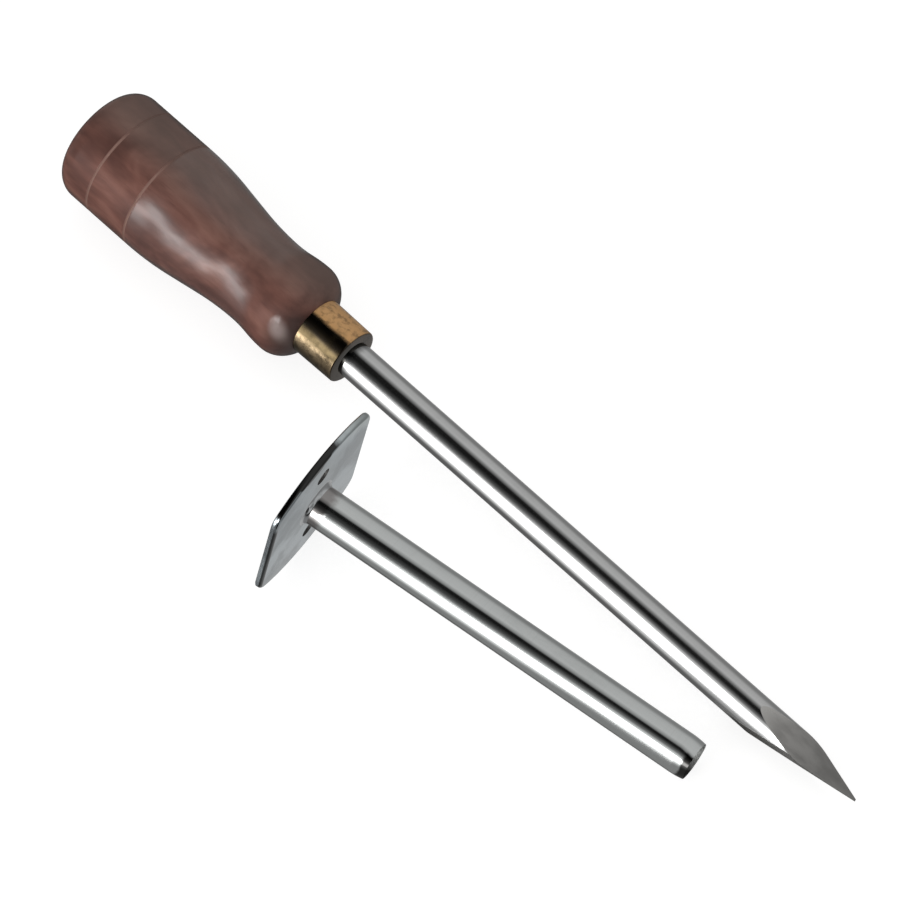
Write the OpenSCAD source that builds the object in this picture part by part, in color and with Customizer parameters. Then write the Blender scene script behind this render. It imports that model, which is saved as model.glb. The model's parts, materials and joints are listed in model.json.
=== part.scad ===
// Cattle trocar with its cannula, laid side by side on a table.
// The trocar is a turned wooden handle, a brass ferrule and a steel stylet with a three-edged point.
// The cannula is a thin tube soldered into a flange plate, and it slides over the stylet in use.
// The table is the plane z = 0, the point of the trocar faces +X, and lengths are in millimetres.

/* [Part] */

// Which piece to draw

/* [Handle] */

// Length from the ferrule's front to the end of the butt
handle_reach = 95.7; // [80:0.1:110]
// Greatest diameter, at the palm swell
swell_d = 32.8; // [28:0.1:38]
// Where the palm swell starts to narrow, behind the ferrule's front
swell_end = 67.2; // [55:0.1:75]
// Radius of the curve from the swell into the taper
swell_curve = 88; // [60:1:120]
// Slope of the taper towards the waist, in degrees
taper_angle = 9.1; // [5:0.1:14]
// Diameter at the waist
waist_d = 25.5; // [20:0.1:30]
// Radius of the hollow curve at the waist
waist_curve = 80; // [40:1:120]
// Diameter of the front bulb
bulb_d = 27.2; // [22:0.1:32]
// Where the bulb is widest, behind the ferrule's front
bulb_at = 20.5; // [16:0.1:26]
// Radius of the two curves that lead from the waist up to the bulb
bulb_rise = 36; // [20:1:60]
// Radius of the bulb's rounded front
bulb_front = 7.5; // [5:0.1:12]
// How far the butt end domes out
butt_dome = 1.8; // [0.5:0.1:6]
// Rounding of the butt's edge
butt_round = 5.8; // [2:0.1:9]
// Where the front scored ring is, behind the ferrule's front
ring_front = 67.1; // [60:0.1:75]
// Where the rear scored ring is, behind the ferrule's front
ring_rear = 80.9; // [72:0.1:90]
// Radius of the scoring tool's round nose
ring_tool = 0.35; // [0.2:0.05:0.8]
// Depth of the scored rings
ring_depth = 0.25; // [0.1:0.05:0.5]

/* [Ferrule] */

// Outside diameter at the back
ferrule_d = 16.3; // [14:0.1:20]
// How much smaller the front is
ferrule_taper = 0.2; // [0:0.05:1]
// Thickness of the ferrule's side
ferrule_wall = 0.9; // [0.5:0.1:1.5]
// Thickness of the ferrule's end wall
ferrule_end = 1.2; // [0.6:0.1:2]
// Bevel around the front rim
ferrule_bevel = 0.45; // [0.1:0.05:1]

/* [Stylet] */

// Diameter of the rod
rod_d = 10; // [6:0.1:12]
// Length of rod and point in front of the ferrule
rod_reach = 177.6; // [120:0.1:220]
// Diameter of the neck, where the rod passes through the ferrule's end wall
neck_d = 9.6; // [8:0.1:10]
// How far the neck shows in front of the ferrule
neck_reach = 0.4; // [0.2:0.1:2]
// Radius of the curve from the rod into the turned nose
nose_curve = 30; // [10:1:60]
// Slope of the nose, in degrees
nose_angle = 15.1; // [10:0.1:20]
// How far behind the tip the curve starts
nose_len = 21; // [12:0.1:40]
// Angle between the axis and each ground facet, in degrees
facet_angle = 8.3; // [6:0.1:12]
// Distance from the axis to each facet at the blunt tip
tip_half = 0.2; // [0.1:0.05:0.5]
// Turn of the point about its axis, in degrees
point_turn = -3; // [-60:0.5:60]
// Diameter of the tang inside the handle
tang_d = 6; // [4:0.1:8]
// Length of the tang
tang_len = 55; // [30:1:80]

/* [Cannula] */

// Bore of the tube
bore_d = 10.2; // [10.1:0.05:10.8]
// Outside diameter of the tube
tube_d = 11.2; // [10.8:0.1:13]
// Length from the middle of the flange to the far end of the tube
tube_reach = 117; // [90:0.1:160]
// Radius of the curve that narrows the tube's far end
tube_curve = 22; // [5:1:60]
// Thickness of the edge at the far end
tube_edge = 0.12; // [0.05:0.01:0.4]
// Width of the flange between its flat sides
flange_w = 42; // [30:0.5:60]
// Height of the flange between the tops of its curved sides
flange_h = 46.5; // [30:0.5:60]
// Thickness of the flange
flange_t = 1.9; // [0.8:0.1:3]
// How far the curved sides bow out
flange_bow = 3.5; // [0.5:0.1:8]
// Radius of the flange's corners
flange_corner = 5; // [1:0.1:10]
// Diameter of the two small holes
eye_d = 5; // [2:0.1:6]
// Distance between the two small holes
eye_span = 27; // [20:0.5:36]
// Radius of the solder fillet
solder_r = 1.3; // [0.5:0.1:3]

/* [Layout] */

// How far the flange is set forward of the ferrule's front
cannula_ahead = 28; // [-20:0.1:60]
// How far the flange is set to the side of the trocar
cannula_aside = 41.5; // [30:0.1:60]
// Turn of the cannula seen from above, in degrees
cannula_yaw = 10.4; // [-20:0.1:20]
// Lean of the flange about the tube's axis, in degrees
flange_lean = 3; // [-10:0.5:10]

/* [Hidden] */

// Fineness of true circles
$fn = 96;
// Play between pieces that are cemented together
glue = 0.03;
// Free space behind the tang
tang_gap = 2;
// Overshoot of cutting shapes
eps = 0.5;

// Radii used by the turned pieces
swell_r = swell_d / 2;
waist_r = waist_d / 2;
bulb_r = bulb_d / 2;
rod_r = rod_d / 2;
neck_r = neck_d / 2;
tube_r = tube_d / 2;
tenon_r = ferrule_d / 2 - ferrule_wall;

// Butt: a dome that meets the edge rounding smoothly
butt_flat = swell_r - butt_round;
dome_r = (butt_flat * butt_flat + butt_dome * butt_dome) / (2 * butt_dome);
dome_at = -handle_reach + dome_r;
dome_angle = asin(butt_flat / (dome_r - butt_round));
round_at = dome_at - (dome_r - butt_round) * cos(dome_angle);

// Taper: the straight part between the swell's curve and the waist's hollow
taper_drop = swell_r - waist_r - (swell_curve + waist_curve) * (1 - cos(taper_angle));
taper_len = taper_drop / tan(taper_angle);
taper_from = -swell_end + swell_curve * sin(taper_angle);
waist_at = taper_from + taper_len + waist_curve * sin(taper_angle);

// Bulb: two equal curves rise from the waist, then the front turns down to the ferrule
rise_angle = acos(1 - (bulb_r - waist_r) / (2 * bulb_rise));
rise_from = -bulb_at - 2 * bulb_rise * sin(rise_angle);
front_angle = acos((ferrule_d / 2 - bulb_r + bulb_front) / bulb_front);
seat_at = -bulb_at + bulb_front * sin(front_angle);

// Nose: a curve and a cone, turned down before the facets are ground
nose_at = rod_reach - nose_len;
cone_at = nose_at + nose_curve * sin(nose_angle);
cone_r = rod_r - nose_curve * (1 - cos(nose_angle));
tip_r = cone_r - (rod_reach - cone_at) * tan(nose_angle);
// Where the three facets would meet, ahead of the blunt tip
apex_at = rod_reach + tip_half / tan(facet_angle);

// Trocar at rest: the swell's curve and the nose's curve touch the table
touch_dx = nose_at + swell_end;
touch_dy = rod_r - nose_curve + swell_curve - swell_r;
touch_far = sqrt(touch_dx * touch_dx + touch_dy * touch_dy);
trocar_tilt = asin((swell_curve - nose_curve) / touch_far) - atan(touch_dy / touch_dx);
trocar_height = nose_curve - (nose_curve - rod_r) * cos(trocar_tilt) + nose_at * sin(trocar_tilt);

// Flange: radius of its curved sides, and the centres of its corners
bow_half = flange_w / 2 - flange_corner;
bow_r = (bow_half * bow_half + flange_bow * flange_bow) / (2 * flange_bow);
bow_at = flange_h / 2 - bow_r;
corner_at = bow_at + sqrt(pow(bow_r - flange_corner, 2) - bow_half * bow_half);
bow_end = bow_half * bow_r / (bow_r - flange_corner);

// Tube: where it starts to narrow, and how far its end curves in
tube_turn = acos(1 - (tube_r - bore_d / 2 - tube_edge) / tube_curve);
tube_full = tube_reach - tube_curve * sin(tube_turn);

// Cannula at rest: the flange's lower side and the curve of the tube's far end touch the table
flange_low = bow_r + bow_at * cos(flange_lean);
rest_rise = flange_low - tube_r + tube_curve;
rest_run = tube_full - flange_t / 2;
rest_far = sqrt(rest_rise * rest_rise + rest_run * rest_run);
cannula_tilt = acos(tube_curve / rest_far) - atan(rest_run / rest_rise);
cannula_height = flange_low * cos(cannula_tilt) + flange_t / 2 * sin(cannula_tilt);

// Sideways parts of the flange's width, height and thickness, as it stands
side_w = cos(cannula_yaw) * cos(flange_lean) - sin(cannula_yaw) * sin(cannula_tilt) * sin(flange_lean);
side_h = cos(cannula_yaw) * sin(flange_lean) + sin(cannula_yaw) * sin(cannula_tilt) * cos(flange_lean);
side_t = sin(cannula_yaw) * cos(cannula_tilt);
flange_side = bow_half * side_w + corner_at * side_h + flange_t / 2 * side_t
    + flange_corner * sqrt(side_w * side_w + side_h * side_h);

// Middle of the whole layout: between butt and point, and between swell and flange
butt_x = dome_at * cos(trocar_tilt) - dome_r;
point_x = rod_reach * cos(trocar_tilt);
middle_x = (butt_x + point_x) / 2;
middle_y = (swell_r - cannula_aside - flange_side) / 2;

// Points along an arc about c, from angle a to angle b in n steps
function arc(c, r, a, b, n) = [
    for (i = [0 : n])
        [c[0] + r * cos(a + (b - a) * i / n), c[1] + r * sin(a + (b - a) * i / n)]
];

// Turns a half outline of radius against station about the X axis
module turned() {
    rotate([0, 90, 0])
        rotate_extrude()
            children();
}

// A plain cylinder along X, from station a to station b
module along(r, a, b) {
    translate([a, 0, 0])
        rotate([0, 90, 0])
            cylinder(r = r, h = b - a);
}

// Places the trocar, whose ferrule front is at the origin, on the table
module lay_trocar() {
    translate([-middle_x, -middle_y, trocar_height])
        rotate([0, trocar_tilt, 0])
            children();
}

// Places the cannula, whose flange middle is at the origin, on the table
module lay_cannula() {
    translate([cannula_ahead - middle_x, -cannula_aside - middle_y, cannula_height])
        rotate([0, cannula_tilt, cannula_yaw])
            children();
}

// Half outline of the handle: butt, swell, taper, waist, bulb, shoulder and tenon
module handle_outline() {
    polygon(concat(
        arc([0, dome_at], dome_r, -90, dome_angle - 90, 3),
        arc([butt_flat, round_at], butt_round, dome_angle - 90, 0, 5),
        arc([swell_r - swell_curve, -swell_end], swell_curve, 0, taper_angle, 4),
        arc([waist_r + waist_curve, waist_at], waist_curve, 180 + taper_angle, 180, 3),
        arc([waist_r + bulb_rise, rise_from], bulb_rise, 180, 180 - rise_angle, 3),
        arc([bulb_r - bulb_rise, -bulb_at], bulb_rise, -rise_angle, 0, 3),
        arc([bulb_r - bulb_front, -bulb_at], bulb_front, front_angle / 5, front_angle, 4),
        [[tenon_r, seat_at], [tenon_r, -ferrule_end], [0, -ferrule_end]]
    ));
}

// One scored ring around the swell
module score(at) {
    turned()
        translate([swell_r + ring_tool - ring_depth, -at])
            circle(r = ring_tool, $fn = 24);
}

module handle() {
    color("#6e4238")
        lay_trocar()
            difference() {
                turned() handle_outline();
                score(ring_front);
                score(ring_rear);
                along(tang_d / 2 + glue, -tang_len - ferrule_end - tang_gap, 0);
            }
}

module ferrule() {
    front_r = ferrule_d / 2 - ferrule_taper;
    color("#b08a4e")
        lay_trocar()
            difference() {
                turned()
                    polygon([
                        [0, seat_at],
                        [ferrule_d / 2, seat_at],
                        [front_r, -ferrule_bevel],
                        [front_r - ferrule_bevel, 0],
                        [0, 0]
                    ]);
                along(tenon_r, seat_at - eps, -ferrule_end);
                along(neck_r + glue, -ferrule_end - eps, eps);
            }
}

// Half outline of the rod, from its shoulder to the blunt tip
module rod_outline() {
    polygon(concat(
        [[0, neck_reach], [rod_r, neck_reach]],
        arc([rod_r - nose_curve, nose_at], nose_curve, 0, nose_angle, 5),
        [[tip_r, rod_reach], [0, rod_reach]]
    ));
}

// Everything outside one ground facet of the point
module facet_cut() {
    facet_len = rod_d / sin(facet_angle);
    translate([apex_at, 0, 0])
        rotate([0, facet_angle, 0])
            translate([-facet_len, -rod_d, 0])
                cube([facet_len + rod_d, 2 * rod_d, rod_d]);
}

module stylet() {
    color("#b9bcc0")
        lay_trocar()
            difference() {
                union() {
                    turned() rod_outline();
                    along(neck_r, -ferrule_end, neck_reach + eps);
                    along(tang_d / 2, -ferrule_end - tang_len, -ferrule_end + eps);
                }
                for (side = [0 : 2])
                    rotate([point_turn + 120 * side, 0, 0])
                        facet_cut();
            }
}

module cannula_tube() {
    color("#b4b8bc")
        lay_cannula()
            difference() {
                turned()
                    polygon(concat(
                        [[0, -flange_t / 2], [tube_r, -flange_t / 2]],
                        arc([tube_r - tube_curve, tube_full], tube_curve, 0, tube_turn, 6),
                        [[0, tube_reach]]
                    ));
                along(bore_d / 2, -flange_t, tube_reach + eps);
            }
}

// Outline of the flange: two flat sides, two bowed sides and four round corners
module flange_outline() {
    intersection() {
        translate([0, bow_at]) circle(r = bow_r, $fn = 180);
        translate([0, -bow_at]) circle(r = bow_r, $fn = 180);
        square([2 * bow_end, flange_h], center = true);
    }
    square([flange_w, 2 * corner_at], center = true);
    for (x = [-1, 1], y = [-1, 1])
        translate([x * bow_half, y * corner_at])
            circle(r = flange_corner);
}

module cannula_flange() {
    color("#a9adb1")
        lay_cannula()
            rotate([-flange_lean, 0, 0])
                difference() {
                    translate([-flange_t / 2, 0, 0])
                        rotate([90, 0, 90])
                            linear_extrude(flange_t)
                                flange_outline();
                    along(tube_r, -flange_t, flange_t);
                    for (side = [-1, 1])
                        translate([0, 0, side * eye_span / 2])
                            along(eye_d / 2, -flange_t, flange_t);
                }
}

module cannula_solder() {
    color("#8f8b80")
        lay_cannula()
            turned()
                translate([tube_r, flange_t / 2])
                    difference() {
                        square(solder_r);
                        translate([solder_r, solder_r]) circle(r = solder_r);
                    }
}

handle();
ferrule();
stylet();
cannula_tube();
cannula_flange();
cannula_solder();
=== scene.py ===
"""Builds the looks of a cattle trocar and its cannula around their packed model."""

import json
import math

import bpy
from mathutils import Matrix, Vector


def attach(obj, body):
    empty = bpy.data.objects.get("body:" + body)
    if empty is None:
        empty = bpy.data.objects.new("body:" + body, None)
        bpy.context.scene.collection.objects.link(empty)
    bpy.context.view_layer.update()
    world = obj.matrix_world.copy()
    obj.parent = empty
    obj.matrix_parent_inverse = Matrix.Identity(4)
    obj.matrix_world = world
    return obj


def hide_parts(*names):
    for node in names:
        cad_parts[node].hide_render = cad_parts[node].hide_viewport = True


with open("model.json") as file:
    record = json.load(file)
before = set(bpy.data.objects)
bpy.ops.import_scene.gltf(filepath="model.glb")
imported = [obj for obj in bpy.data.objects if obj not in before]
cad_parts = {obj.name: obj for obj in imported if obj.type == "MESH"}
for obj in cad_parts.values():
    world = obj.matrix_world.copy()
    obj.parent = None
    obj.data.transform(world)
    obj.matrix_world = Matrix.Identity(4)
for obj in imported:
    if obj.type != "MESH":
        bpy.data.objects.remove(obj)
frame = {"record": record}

bl_info = {
    "name": "Cattle trocar and cannula",
    "version": (1, 0, 0),
    "blender": (4, 5, 0),
    "location": "3D View > Sidebar > Trocar",
    "description": "Models the pieces of a trocar and its cannula, and the stage they lie on",
    "category": "Add Mesh",
}

MOUNTS = {mount["name"]: mount for mount in frame["record"]["mounts"]}
MM = 0.001
EPS = 1e-6
# Play between pieces that fit into each other
PLAY = 0.03 * MM
# A turned piece ends in a ring this small, which is then closed to a point
POLE = 0.05 * MM
# Two normals whose product is this close to 1 belong to the same plane
FLAT = 1e-4


def length(name, description, default, low=0.0):
    """A size in metres, given in millimetres."""
    return bpy.props.FloatProperty(
        name=name, description=description, default=default * MM, min=low, unit="LENGTH", precision=5
    )


def turn_angle(name, description, default):
    """An angle, given in degrees."""
    return bpy.props.FloatProperty(
        name=name, description=description, default=math.radians(default), subtype="ANGLE"
    )


def colour(name, description, default):
    """A colour in linear red, green and blue."""
    return bpy.props.FloatVectorProperty(
        name=name, description=description, default=default, min=0.0, max=1.0, size=3, subtype="COLOR"
    )


def plain(name, description, default, low=0.0, high=1.0):
    """A number with no unit."""
    return bpy.props.FloatProperty(
        name=name, description=description, default=default, min=low, max=high
    )


class HandleShape(bpy.types.PropertyGroup):
    """The turned wooden handle."""

    reach: length("Reach", "From the ferrule's front to the end of the butt", 95.7)
    swell: length("Swell", "Diameter of the palm swell", 32.8)
    swell_end: length("Swell end", "Where the swell starts to narrow", 67.2)
    swell_curve: length("Swell curve", "Radius of the curve from the swell into the taper", 88)
    taper: turn_angle("Taper", "Slope of the taper towards the waist", 9.1)
    waist: length("Waist", "Diameter at the waist", 25.5)
    waist_curve: length("Waist curve", "Radius of the hollow at the waist", 80)
    bulb: length("Bulb", "Diameter of the front bulb", 27.2)
    bulb_at: length("Bulb place", "Where the bulb is widest", 20.5)
    bulb_rise: length("Bulb rise", "Radius of the two curves up to the bulb", 36)
    bulb_front: length("Bulb front", "Radius of the bulb's rounded front", 7.5)
    butt_dome: length("Butt dome", "How far the butt domes out", 1.8)
    butt_round: length("Butt rounding", "Rounding of the butt's edge", 5.8)
    ring_front: length("Front ring", "Where the front scored ring is", 67.1)
    ring_rear: length("Rear ring", "Where the rear scored ring is", 80.9)
    ring_tool: length("Scoring tool", "Radius of the scoring tool's nose", 0.35)
    ring_depth: length("Ring depth", "Depth of the scored rings", 0.25)
    wood_dark: colour("Dark wood", "Darkest tone of the stained wood", (0.1, 0.043, 0.034))
    wood_mid: colour("Wood", "Usual tone of the stained wood", (0.185, 0.08, 0.062))
    wood_light: colour("Light wood", "Palest tone of the stained wood", (0.27, 0.13, 0.1))
    # Painted sheen: the greyer tone of the high side
    wood_sheen: colour("Faded wood", "Stain on the side where it has faded", (0.17, 0.122, 0.105))
    # A dark tone for the bulb next to the ferrule; it is also the painted shade where the wood is seen
    # aslant
    dirt: colour("Dirt", "Dirt where the bulb meets the ferrule", (0.05, 0.04, 0.038))
    ring_tone: colour("Ring tone", "Bare wood in the scored rings", (0.33, 0.2, 0.165))
    # Painted highlight: the pale patch on the bulb
    painted_highlight: colour("Rubbed wood", "Wood where the stain is rubbed pale", (0.5, 0.41, 0.39))


class FerruleShape(bpy.types.PropertyGroup):
    """The brass ferrule."""

    outside: length("Outside", "Outside diameter at the back", 16.3)
    narrowing: length("Narrowing", "How much smaller the radius is in front", 0.2)
    wall: length("Wall", "Thickness of the side", 0.9)
    end: length("End wall", "Thickness of the end wall", 1.2)
    rim: length("Rim", "Rounding of the front rim", 0.45)
    # Across the ferrule these colours lie in bands that copy its reflections: bright brass where the
    # highlight is painted, tarnish beside it, and the painted dark as a dark reflection
    brass: colour("Brass", "Where the brass is still bright", (0.44, 0.33, 0.2))
    tarnish: colour("Tarnish", "Tarnished brass", (0.1, 0.075, 0.04))
    oxide: colour("Oxide", "Orange-brown film on the side away from the cannula", (0.7, 0.4, 0.17))
    # Painted dark: shade on the end wall and the back edge, and a dark reflection band along the side
    painted_dark: colour("Grime", "Dirt on the end wall, along the back edge and in a streak", (0.05, 0.04, 0.03))


class StyletShape(bpy.types.PropertyGroup):
    """The steel stylet."""

    rod: length("Rod", "Diameter of the rod", 2 * MOUNTS["stylet_shaft"]["dims"]["r_mm"])
    reach: length("Reach", "Length of rod and point in front of the ferrule", 177.6)
    neck: length("Neck", "Diameter of the neck in the ferrule's end wall", 9.6)
    neck_reach: length("Neck reach", "How far the neck shows in front of the ferrule", 0.4)
    tang: length("Tang", "Diameter of the tang inside the handle", 6)
    tang_reach: length("Tang reach", "Length of the tang", 55)
    nose_curve: length("Nose curve", "Radius of the curve from the rod into the turned nose", 30)
    nose_slope: turn_angle("Nose slope", "Slope of the nose", 15.1)
    nose_reach: length("Nose reach", "How far behind the tip the curve starts", 21)
    facet: turn_angle("Facet", "Angle between the axis and each ground facet", 8.3)
    tip_half: length("Tip", "Distance from the axis to each facet at the blunt tip", 0.2)
    point_turn: turn_angle("Point turn", "Turn of the point about its axis", -3)
    steel: colour("Steel", "Polished steel", (0.9, 0.905, 0.9))
    ground: colour("Ground steel", "Steel of the ground facets", (0.6, 0.59, 0.57))
    # Painted shade: this tone darkens the low facet, the turned nose, a strip along the rod's low edge and
    # the rod where it leaves the ferrule
    stain: colour("Stain", "Tone of the facet that lies low", (0.06, 0.058, 0.055))


class CannulaShape(bpy.types.PropertyGroup):
    """The tube, its flange and the solder between them."""

    bore: length("Bore", "Bore of the tube", 2 * MOUNTS["cannula_bore"]["dims"]["r_mm"])
    outside: length("Outside", "Outside diameter of the tube", 11.2)
    reach: length("Reach", "From the middle of the flange to the tube's far end", 117)
    end_curve: length("End curve", "Radius of the curve that narrows the far end", 22)
    edge: length("Edge", "Thickness of the edge at the far end", 0.12)
    width: length("Flange width", "Width between the flat sides", 42)
    height: length("Flange height", "Height between the tops of the curved sides", 46.5)
    thick: length("Flange thickness", "Thickness of the flange", 1.9)
    bow: length("Bow", "How far the curved sides bow out", 3.5)
    corner: length("Corner", "Radius of the flange's corners", 5)
    back_round: length("Back rounding", "How far the flange's back edge is bevelled", 0.35)
    front_round: length("Front rounding", "How far the flange's front edge is rounded over", 0.9)
    eye: length("Eye", "Diameter of the two small holes", 2 * MOUNTS["flange_holes"]["dims"]["hole_r_mm"])
    eye_span: length("Eye span", "Between the small holes", MOUNTS["flange_holes"]["dims"]["pcd_mm"])
    lean: turn_angle("Lean", "Lean of the flange about the tube's axis", 3)
    solder: length("Solder", "Radius of the solder fillet", 1.3)
    chrome: colour("Chrome", "Chromed tube", (0.95, 0.98, 0.97))
    plate: colour("Plate", "Chromed flange", (0.8, 0.88, 0.92))
    stain: colour("Stain", "Tone of the tube where the solder's heat has stained it", (0.4, 0.37, 0.36))
    # Painted dark: shade in the bore, the small holes and the tube's far end, and dark reflections on the
    # flange
    painted_dark: colour("Grime", "Dirt in the bore and the small holes", (0.045, 0.042, 0.04))
    tin: colour("Tin", "Solder", (0.82, 0.84, 0.85))


class StageLook(bpy.types.PropertyGroup):
    """Floor, lamps and camera."""

    elevation: turn_angle("Elevation", "Height of the camera over the floor", 58)
    azimuth: turn_angle("Azimuth", "Turn of the camera round the object", 44.81)
    distance: length("Distance", "From the camera to the point it looks at", 2048)
    lens: plain("Lens", "Focal length for a 36 mm sensor", 320.0, 10.0, 500.0)
    aim_x: length("Aim X", "Point on the floor in the middle of the picture", -9.14, -1.0)
    aim_y: length("Aim Y", "Point on the floor in the middle of the picture", 27.26, -1.0)
    daylight: plain("Daylight", "Strength of the even light from all round", 0.62, 0.0, 5.0)
    key: plain("Key lamp", "Brightness of the soft lamp", 4.5, 0.0, 20.0)
    panel: plain("Panel", "Brightness of the soft panel in mirrors", 5.0, 1.0, 20.0)


GROUPS = {
    "trocar_handle": HandleShape,
    "trocar_ferrule": FerruleShape,
    "trocar_stylet": StyletShape,
    "trocar_cannula": CannulaShape,
    "trocar_stage": StageLook,
}


# Places of the two bodies


def axis_of(mount):
    """The direction of a mount's axis that points the same way as the trocar."""
    axis = Vector(mount["axis"]).normalized()
    return axis if axis.x > 0 else -axis


def lay(mount, back):
    """The place of a body's own axes: X runs along the mount's axis, from a point behind the mount."""
    axis = axis_of(mount)
    yaw = math.atan2(axis.y, axis.x)
    tilt = -math.asin(axis.z)
    return Vector(mount["pos_m"]) - axis * back, (0.0, tilt, yaw)


def trocar_place(stylet):
    """The trocar's axes start at the ferrule's front."""
    shaft_end = stylet.reach - stylet.nose_reach
    return lay(MOUNTS["stylet_shaft"], (shaft_end + stylet.neck_reach) / 2)


def cannula_place(cannula):
    """The cannula's axes start at the middle of the flange."""
    return lay(MOUNTS["cannula_bore"], (cannula.reach - cannula.thick / 2) / 2)


def set_down(piece, place):
    """Moves a finished piece from its own axes to its place, and applies that to the mesh."""
    only(piece)
    piece.location, piece.rotation_euler = place
    bpy.ops.object.transform_apply(location=True, rotation=True, scale=True)


# Modelling


def clear_selection():
    """Leaves nothing selected, in object mode."""
    if bpy.context.object and bpy.context.object.mode != "OBJECT":
        bpy.ops.object.mode_set(mode="OBJECT")
    bpy.ops.object.select_all(action="DESELECT")


def only(piece):
    """Selects one object alone and makes it active."""
    clear_selection()
    piece.select_set(True)
    bpy.context.view_layer.objects.active = piece


def pick_points(piece, wanted):
    """Selects the points of a piece, in edit mode, that a test of their place accepts."""
    bpy.ops.mesh.select_all(action="DESELECT")
    bpy.ops.object.mode_set(mode="OBJECT")
    for point in piece.data.vertices:
        point.select = bool(wanted(point.co))
    bpy.ops.object.mode_set(mode="EDIT")
    bpy.ops.mesh.select_mode(type="VERT")


def bend(centre, radius, start, end, steps):
    """Stations along an arc round a centre, given as its height over the axis and its place along it."""
    across, along = centre
    angles = [start + (end - start) * i / steps for i in range(steps + 1)]
    return [(along + radius * math.sin(turn), across + radius * math.cos(turn)) for turn in angles]


def turn_on_lathe(name, stations, around, closed=False):
    """Draws a ring out along X from station to station, each a place and a radius, as on a lathe."""
    clear_selection()
    place, radius = stations[0]
    bpy.ops.mesh.primitive_circle_add(
        vertices=around, radius=radius, location=(place, 0, 0), rotation=(0, math.pi / 2, 0)
    )
    piece = bpy.context.object
    piece.name = name
    piece.data.name = name
    bpy.ops.object.transform_apply(location=True, rotation=True, scale=True)
    bpy.ops.object.mode_set(mode="EDIT")
    bpy.ops.mesh.select_mode(type="EDGE")
    bpy.ops.mesh.select_all(action="SELECT")
    path = list(stations[1:])
    if closed:
        path.append(stations[0])
    for next_place, next_radius in path:
        bpy.ops.mesh.extrude_edges_move(
            TRANSFORM_OT_translate={"value": (next_place - place, 0, 0)}
        )
        grow = next_radius / radius
        if abs(grow - 1) > EPS:
            bpy.ops.transform.resize(value=(1, grow, grow), center_override=(next_place, 0, 0))
        place, radius = next_place, next_radius
    if closed:
        bpy.ops.mesh.select_all(action="SELECT")
        bpy.ops.mesh.remove_doubles(threshold=EPS)
    else:
        bpy.ops.mesh.merge(type="CENTER")
        first_place, first_radius = stations[0]
        pick_points(
            piece,
            lambda p: abs(p.x - first_place) < EPS and math.hypot(p.y, p.z) < first_radius + EPS,
        )
        bpy.ops.mesh.merge(type="CENTER")
    bpy.ops.mesh.select_all(action="SELECT")
    bpy.ops.mesh.normals_make_consistent(inside=False)
    bpy.ops.object.mode_set(mode="OBJECT")
    return piece


def smooth(piece, angle):
    """Shades a piece smoothly, but keeps edges sharper than the angle."""
    only(piece)
    bpy.ops.object.shade_smooth_by_angle(angle=math.radians(angle))


def finish_piece(piece, place, body, node, slot, *materials, crease, mirrored=True):
    """Shades a piece, sets it down in its place, gives it its materials and body, and hides the packed part
    that it stands for.
    """
    smooth(piece, crease)
    set_down(piece, place)
    piece.visible_glossy = mirrored
    for material in materials:
        piece.data.materials.append(material)
    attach(piece, body)
    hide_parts(node)


# Materials

# Directions in a body's own axes: along it, and across it to the low side that faces the viewer
FORWARD = (1, 0, 0)
LOW_SIDE = (0, -0.914, -0.405)
# Across it to the lower side, along which painted bands and painted shade are laid, and to the side of the
# painted sheen opposite
LOWER_SIDE = (0, -0.91, -0.41)
SHEEN_SIDE = (0, 0.91, 0.41)


def shade(tone, factor):
    """A darker or paler copy of a colour."""
    return tuple(min(channel * factor, 1.0) for channel in tone)


def grey(level):
    """A grey as red, green and blue."""
    return (level, level, level)


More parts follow.
